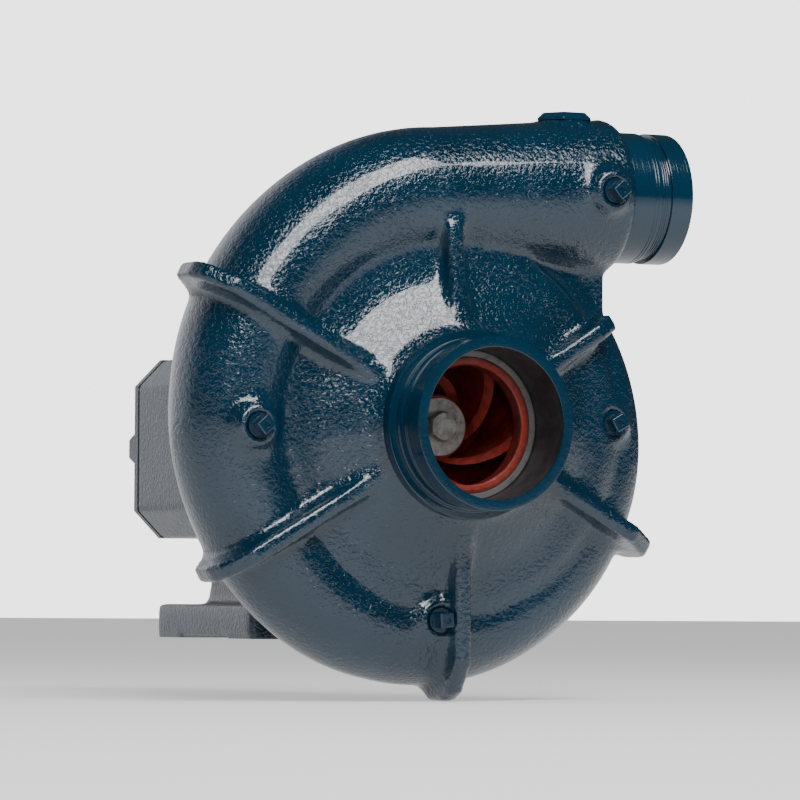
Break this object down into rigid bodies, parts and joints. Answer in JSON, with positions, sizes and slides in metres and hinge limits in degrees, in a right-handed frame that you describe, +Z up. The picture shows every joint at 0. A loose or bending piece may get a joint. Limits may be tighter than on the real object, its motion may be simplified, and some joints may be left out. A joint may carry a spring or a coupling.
{
  "type": "centrifugal water pump",
  "caption": "End-suction centrifugal water pump: ribbed cast volute casing with grooved suction and discharge ends, closed impeller and an oil-bath bearing frame on feet.",
  "frame": {"origin": "centre of the four foot bolts, on the plane that the feet are bolted to", "axes": "+X along the discharge, +Y along the shaft from the suction to the drive end, +Z up"},
  "size_m": [0.3652, 0.4854, 0.3969],
  "materials": {
    "bearing_steel": "ground and polished bearing steel",
    "black_plastic": "moulded black plastic",
    "blue_paint": "thick gloss enamel over rough sand-cast iron, smooth on the machined spigots",
    "brass": "pressed brass",
    "bright_steel": "ground steel",
    "carbon": "lapped carbon",
    "ceramic": "fine white ceramic",
    "gasket": "black gasket sheet",
    "gauge_glass": "turned aluminium sight-glass body",
    "red_primer": "semi-gloss red-orange primer over cast iron",
    "ring_steel": "turned iron, satin",
    "rubber": "matt black rubber",
    "zinc_steel": "zinc-plated steel, lightly marked"
  },
  "bodies": {
    "casing": {"backplate": "blue_paint", "bearing_frame": "blue_paint", "casing_gasket": "gasket", "casing_nuts": "blue_paint", "casing_studs": "bright_steel", "cover_screws": "blue_paint", "front_bearing_outer": "bearing_steel", "front_lip_seal": "rubber", "oil_drain_plug": "blue_paint", "oil_filler_plug": "black_plastic", "oil_gauge": "gauge_glass", "pipe_plugs": "blue_paint", "priming_plug": "blue_paint", "rear_bearing_outer": "bearing_steel", "rear_cover": "blue_paint", "rear_cover_gasket": "gasket", "rear_lip_seal": "rubber", "seal_seat": "ceramic", "volute_casing": "blue_paint", "wear_ring": "ring_steel"},
    "rotor": {"shaft": "bright_steel", "impeller": "red_primer", "impeller_key": "bright_steel", "impeller_washer": "zinc_steel", "impeller_bolt": "zinc_steel", "drive_key": "bright_steel", "slinger": "rubber", "bearing_circlip": "bright_steel", "seal_face": "carbon", "seal_bellows": "rubber", "seal_spring": "bright_steel", "front_bearing_inner": "bearing_steel", "rear_bearing_inner": "bearing_steel"},
    "front_balls": {"front_bearing_balls": "bearing_steel", "front_bearing_cage": "brass"},
    "rear_balls": {"rear_bearing_balls": "bearing_steel", "rear_bearing_cage": "brass"}
  },
  "joints": [
    {"name": "rotor_spin", "type": "hinge", "parent": "casing", "child": "rotor", "pos_m": [0, 0, 0.142], "axis": [0, 1, 0], "continuous": true},
    {"name": "front_cage_spin", "type": "hinge", "parent": "casing", "child": "front_balls", "pos_m": [0, 0, 0.142], "axis": [0, 1, 0], "continuous": true},
    {"name": "rear_cage_spin", "type": "hinge", "parent": "casing", "child": "rear_balls", "pos_m": [0, 0, 0.142], "axis": [0, 1, 0], "continuous": true}
  ],
  "couplings": [
    {"joint": "front_cage_spin", "follows": "rotor_spin", "ratio": 0.3862},
    {"joint": "rear_cage_spin", "follows": "rotor_spin", "ratio": 0.3862}
  ]
}
